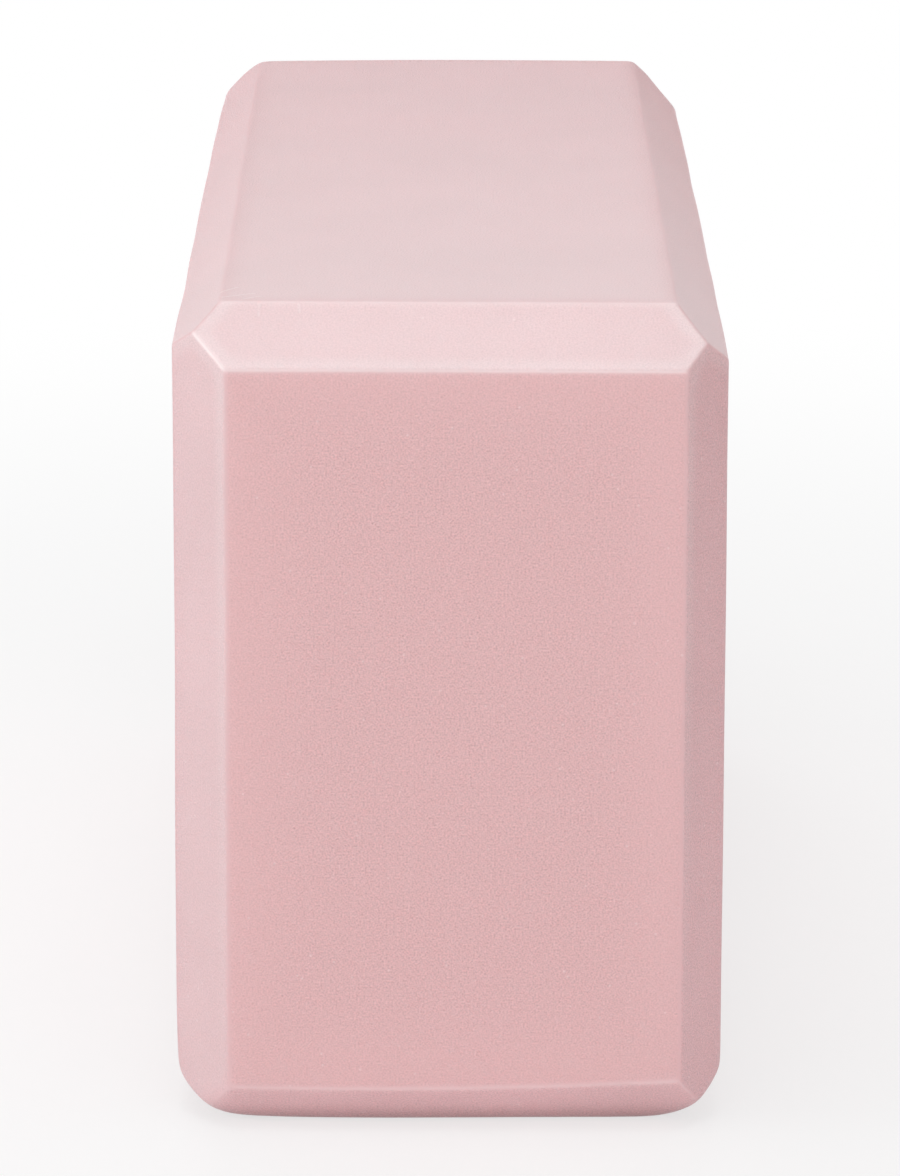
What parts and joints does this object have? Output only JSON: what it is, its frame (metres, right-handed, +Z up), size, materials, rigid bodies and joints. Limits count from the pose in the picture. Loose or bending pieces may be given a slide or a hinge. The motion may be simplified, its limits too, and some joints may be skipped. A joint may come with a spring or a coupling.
{
  "type": "yoga block",
  "caption": "Firm foam yoga block: a plain brick of closed-cell foam with flat bevels along every edge, used as a support under a hand, foot, seat or back.",
  "frame": {"origin": "middle of the long narrow side that the block stands on", "axes": "+Z up, +Y along the block's length from the end that faces the viewer to the far end, +X across its thickness to the viewer's right"},
  "size_m": [0.1016, 0.2286, 0.1524],
  "materials": {
    "foam": "matte"
  },
  "bodies": {
    "root": {"foam_block": "foam"}
  },
  "joints": []
}
